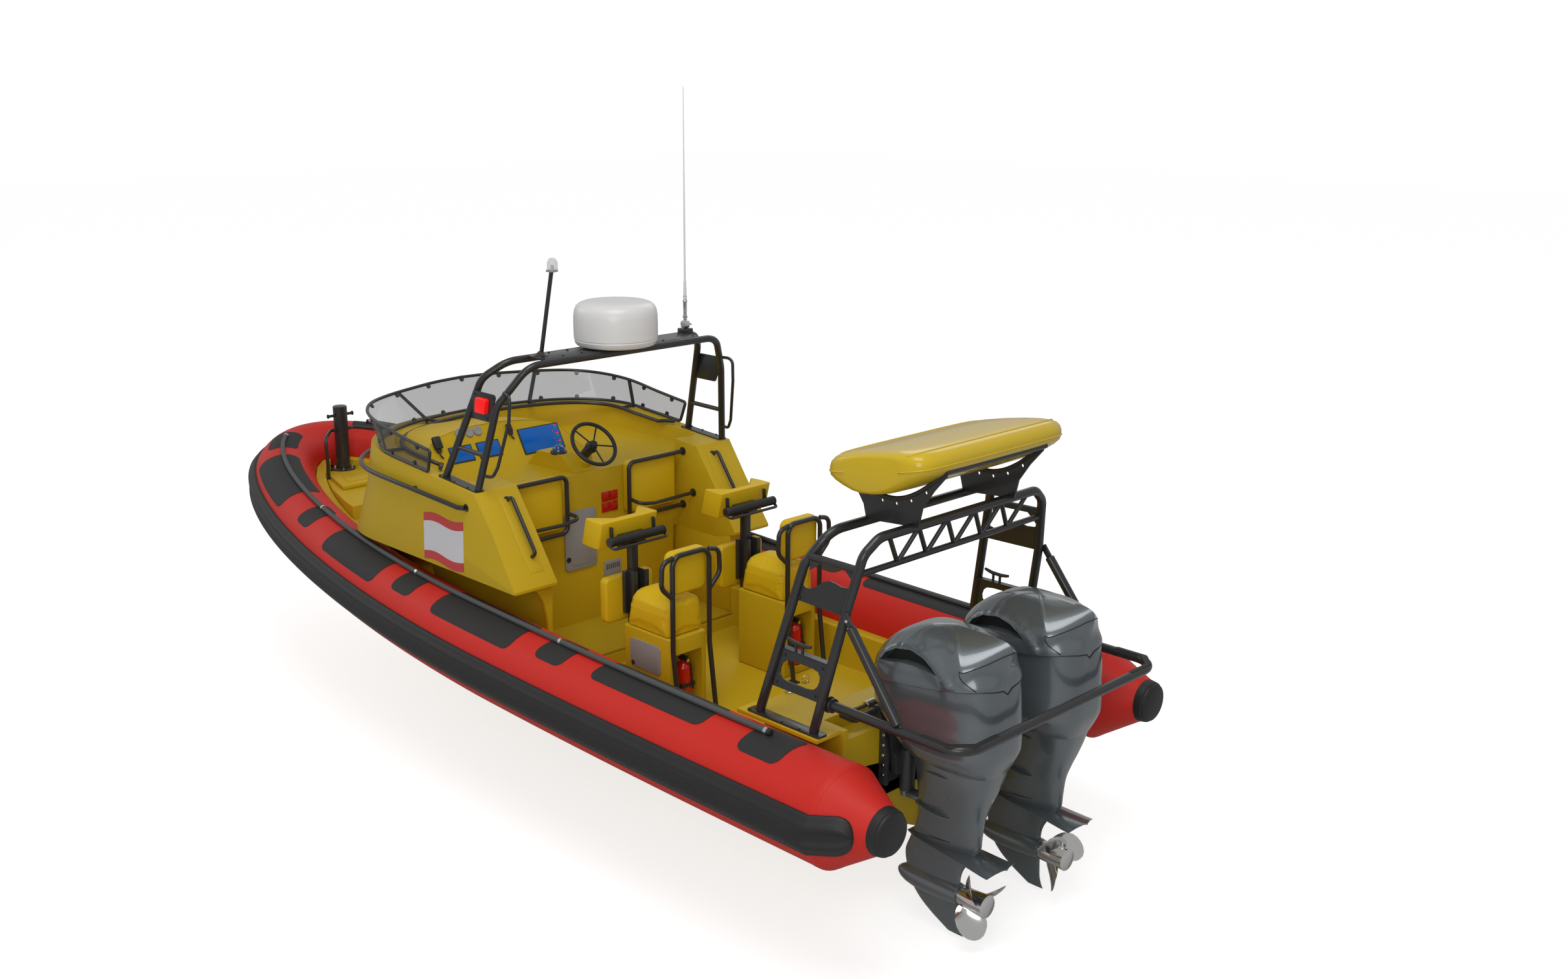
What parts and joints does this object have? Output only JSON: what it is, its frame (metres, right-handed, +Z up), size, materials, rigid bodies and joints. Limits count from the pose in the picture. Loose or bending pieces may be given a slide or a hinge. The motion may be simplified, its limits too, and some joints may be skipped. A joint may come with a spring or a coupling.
{
  "type": "inshore rescue boat",
  "caption": "Rigid inflatable rescue boat with steering console, curved windscreen, radar arch, jockey seats, aft frame with raft pack, and outboards that tilt and steer.",
  "frame": {"origin": "on the centreline, at the transom's aft face and at the waterline", "axes": "+X towards the bow, +Y to port, +Z up"},
  "size_m": [8.1425, 2.982, 4.4973],
  "materials": {
    "tube_red": "coated fabric, satin",
    "strake_black": "matt",
    "hose_grey": "matt",
    "gelcoat_yellow": "satin gelcoat",
    "pad_yellow": "coated upholstery",
    "frame_black": "satin powder coat",
    "wheel_black": "moulded",
    "hatch_grey": "moulded",
    "radome_white": "satin",
    "engine_grey": "metallic",
    "bracket_black": "satin",
    "steel": "polished",
    "screen_glass": "smoked, clear",
    "signal_red": "gloss"
  },
  "bodies": {
    "boat": {"collar": "tube_red", "rub_strake": "strake_black", "grab_hose_port": "hose_grey", "grab_hose_starboard": "hose_grey", "hull": "gelcoat_yellow", "deck_liner": "gelcoat_yellow", "side_liner_port": "gelcoat_yellow", "side_liner_starboard": "gelcoat_yellow", "raised_floor": "gelcoat_yellow", "aft_deck": "gelcoat_yellow", "foredeck": "gelcoat_yellow", "samson_post": "frame_black", "console": "gelcoat_yellow", "windscreen": "screen_glass", "windscreen_frame": "frame_black", "console_rail": "frame_black", "radar_arch": "frame_black", "radome": "radome_white", "aft_arch": "frame_black", "raft_cradle": "frame_black", "raft_pod": "pad_yellow", "engine_guard": "frame_black", "dash_pad_port": "pad_yellow", "pad_frame_port": "frame_black", "aft_rail_port": "frame_black", "seat_post_port": "frame_black", "seat_squab_port": "pad_yellow", "seat_back_port": "pad_yellow", "pod_port": "gelcoat_yellow", "pod_cushion_port": "pad_yellow", "pod_back_port": "pad_yellow", "pod_frame_port": "frame_black", "extinguisher_port": "signal_red", "clamp_bracket_port": "bracket_black", "dash_pad_starboard": "pad_yellow", "pad_frame_starboard": "frame_black", "aft_rail_starboard": "frame_black", "seat_post_starboard": "frame_black", "seat_squab_starboard": "pad_yellow", "seat_back_starboard": "pad_yellow", "pod_starboard": "gelcoat_yellow", "pod_cushion_starboard": "pad_yellow", "pod_back_starboard": "pad_yellow", "pod_frame_starboard": "frame_black", "extinguisher_starboard": "signal_red", "clamp_bracket_starboard": "bracket_black"},
    "steering_wheel": {"steering_wheel": "wheel_black"},
    "console_hatch": {"console_hatch": "hatch_grey"},
    "locker_lid": {"locker_lid": "gelcoat_yellow"},
    "whip_aerial": {"whip_aerial": "radome_white"},
    "tilt_port": {"swivel_bracket_port": "bracket_black"},
    "engine_port": {"engine_cowl_port": "engine_grey", "engine_leg_port": "engine_grey"},
    "propeller_port": {"propeller_port": "steel"},
    "ram_port": {"steering_ram_port": "steel"},
    "tilt_starboard": {"swivel_bracket_starboard": "bracket_black"},
    "engine_starboard": {"engine_cowl_starboard": "engine_grey", "engine_leg_starboard": "engine_grey"},
    "propeller_starboard": {"propeller_starboard": "steel"},
    "ram_starboard": {"steering_ram_starboard": "steel"}
  },
  "joints": [
    {"name": "tilt_port", "type": "hinge", "parent": "boat", "child": "tilt_port", "pos_m": [0.035, 0.373, 0.445], "axis": [0, 1, 0], "range_deg": [0, 36]},
    {"name": "steer_port", "type": "hinge", "parent": "tilt_port", "child": "engine_port", "pos_m": [-0.1, 0.373, 0], "axis": [0, 0, 1], "range_deg": [-30, 30]},
    {"name": "propeller_port", "type": "hinge", "parent": "engine_port", "child": "propeller_port", "pos_m": [-0.5104, 0.373, -0.52], "axis": [1, 0, 0], "continuous": true},
    {"name": "ram_port", "type": "slide", "parent": "tilt_port", "child": "ram_port", "axis": [0, 1, 0], "range_m": [-0.093, 0.093]},
    {"name": "tilt_starboard", "type": "hinge", "parent": "boat", "child": "tilt_starboard", "pos_m": [0.035, -0.373, 0.445], "axis": [0, 1, 0], "range_deg": [0, 36]},
    {"name": "steer_starboard", "type": "hinge", "parent": "tilt_starboard", "child": "engine_starboard", "pos_m": [-0.1, -0.373, 0], "axis": [0, 0, 1], "range_deg": [-30, 30]},
    {"name": "propeller_starboard", "type": "hinge", "parent": "engine_starboard", "child": "propeller_starboard", "pos_m": [-0.5104, -0.373, -0.52], "axis": [1, 0, 0], "continuous": true},
    {"name": "ram_starboard", "type": "slide", "parent": "tilt_starboard", "child": "ram_starboard", "axis": [0, 1, 0], "range_m": [-0.093, 0.093]},
    {"name": "steering_wheel", "type": "hinge", "parent": "boat", "child": "steering_wheel", "pos_m": [3.1, 0, 1.335], "axis": [0.7431, 0, -0.6691], "range_deg": [-720, 720]},
    {"name": "console_hatch", "type": "hinge", "parent": "boat", "child": "console_hatch", "pos_m": [3.1357, -0.035, 0.66], "axis": [0, 0, 1], "range_deg": [0, 100]},
    {"name": "locker_lid", "type": "hinge", "parent": "boat", "child": "locker_lid", "pos_m": [6.27, 0, 0.555], "axis": [0, 1, 0], "range_deg": [0, 85]},
    {"name": "whip_aerial", "type": "hinge", "parent": "boat", "child": "whip_aerial", "pos_m": [2.945, -0.715, 2.1103], "axis": [0, -1, 0], "range_deg": [0, 90]}
  ],
  "couplings": [
    {"joint": "ram_port", "follows": "steer_port", "m_per_rad": 0.175},
    {"joint": "ram_starboard", "follows": "steer_port", "m_per_rad": 0.175},
    {"joint": "steer_starboard", "follows": "steer_port", "ratio": 1},
    {"joint": "steering_wheel", "follows": "steer_port", "ratio": 24}
  ]
}
